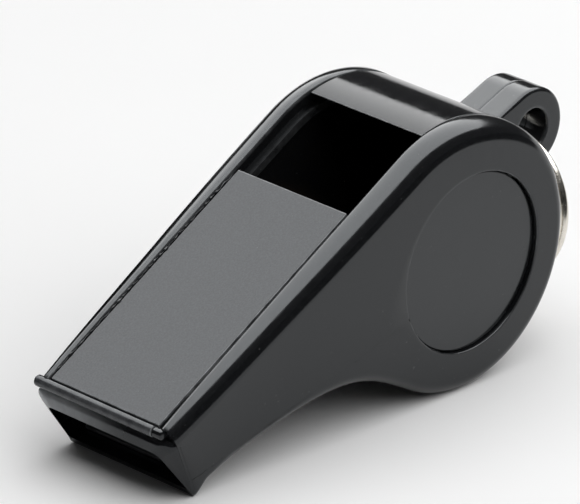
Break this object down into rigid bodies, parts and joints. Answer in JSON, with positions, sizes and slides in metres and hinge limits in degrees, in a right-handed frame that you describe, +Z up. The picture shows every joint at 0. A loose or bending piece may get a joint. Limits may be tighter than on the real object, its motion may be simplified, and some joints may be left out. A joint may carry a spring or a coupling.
{
  "type": "sports whistle",
  "caption": "Moulded plastic pea whistle with a round drum, flat top plate with a sound window, tapered mouthpiece and a lanyard lug that carries a wire split ring",
  "frame": {"origin": "on the surface the whistle stands on, below the middle of its bounding box", "axes": "+X runs from the mouth to the lanyard lug, +Y to the left cheek as the player holds it, +Z is up with the whistle resting on its drum and lower lip"},
  "size_m": [0.0604, 0.02, 0.0278],
  "materials": {
    "body_plastic": "charcoal moulded plastic, satin",
    "plate_plastic": "charcoal moulded plastic, fine grain",
    "inner_plastic": "black moulded plastic",
    "badge_plastic": "charcoal moulded plastic, bare",
    "cork": "turned cork",
    "ring_metal": "nickel-plated spring wire"
  },
  "bodies": {
    "whistle": {"right_shell": "body_plastic", "left_shell": "body_plastic", "windway_roof": "plate_plastic", "windway_floor": "inner_plastic", "rear_bridge": "plate_plastic", "right_badge": "badge_plastic", "left_badge": "badge_plastic"},
    "ball": {"pea": "cork"},
    "ring": {"split_ring": "ring_metal"}
  },
  "joints": [
    {"name": "pea_orbit", "type": "hinge", "parent": "whistle", "child": "ball", "pos_m": [0.00937, 0, 0.0136], "axis": [0, 1, 0], "continuous": true},
    {"name": "ring_swing", "type": "hinge", "parent": "whistle", "child": "ring", "pos_m": [0.02594, 0, 0.01996], "axis": [0, -1, 0], "range_deg": [-2, 228]}
  ]
}
